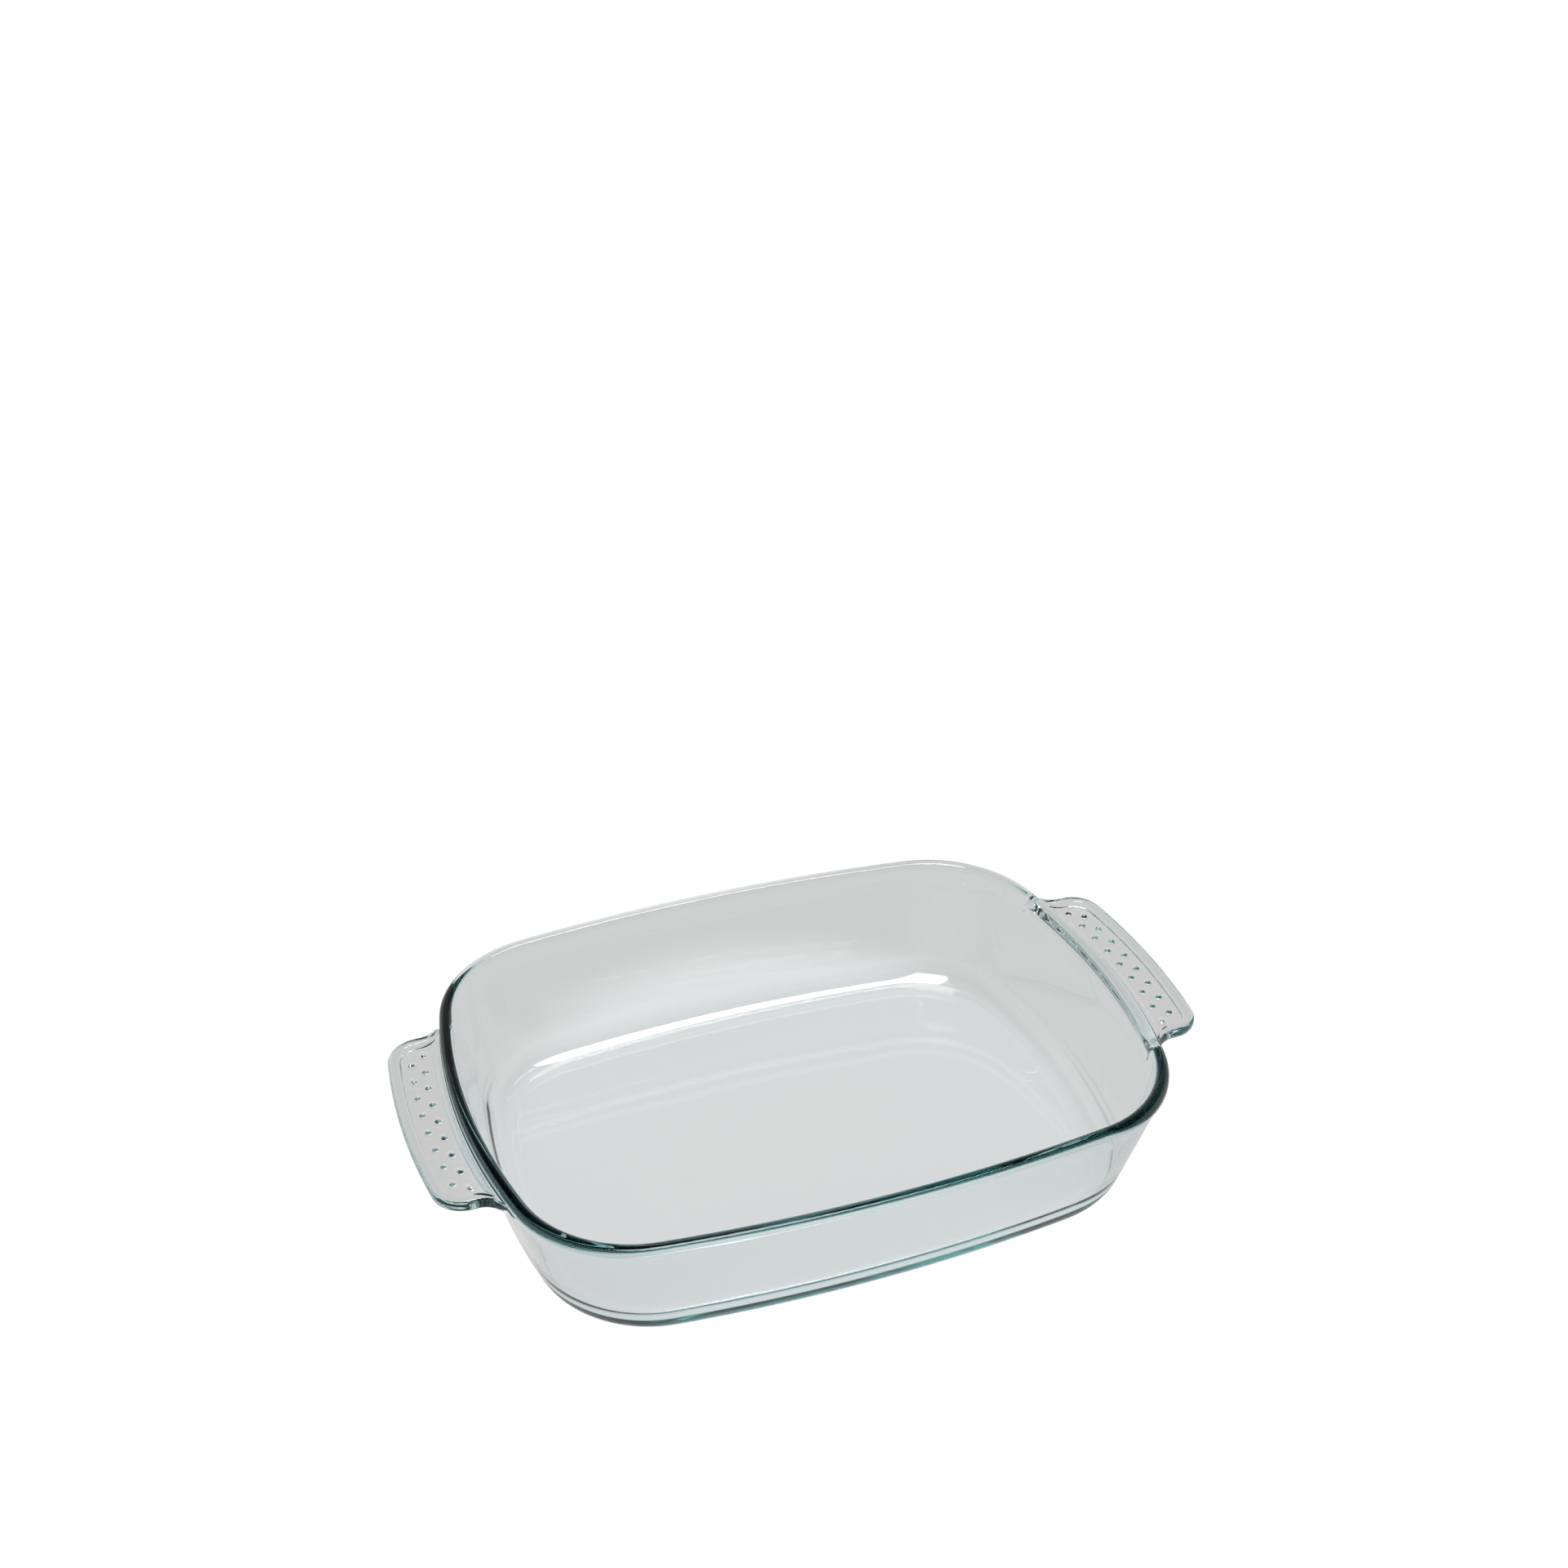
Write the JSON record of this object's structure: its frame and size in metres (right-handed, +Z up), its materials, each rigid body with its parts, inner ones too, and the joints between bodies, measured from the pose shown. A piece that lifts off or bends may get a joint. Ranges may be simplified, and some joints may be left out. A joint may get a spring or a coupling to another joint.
{
  "type": "oven dish",
  "caption": "Rectangular clear pressed-glass oven dish with drafted walls, a rounded rim bead and a flat studded grip at each end.",
  "frame": {"origin": "centre of the footprint, on the plane the foot ring stands on", "axes": "+X along the length from grip to grip, +Y across the width, +Z up out of the open top"},
  "size_m": [0.35, 0.233, 0.061],
  "materials": {
    "tempered_glass": "clear pressed glass with a faint green tint, fire polished"
  },
  "bodies": {
    "root": {"dish": "tempered_glass"}
  },
  "joints": []
}
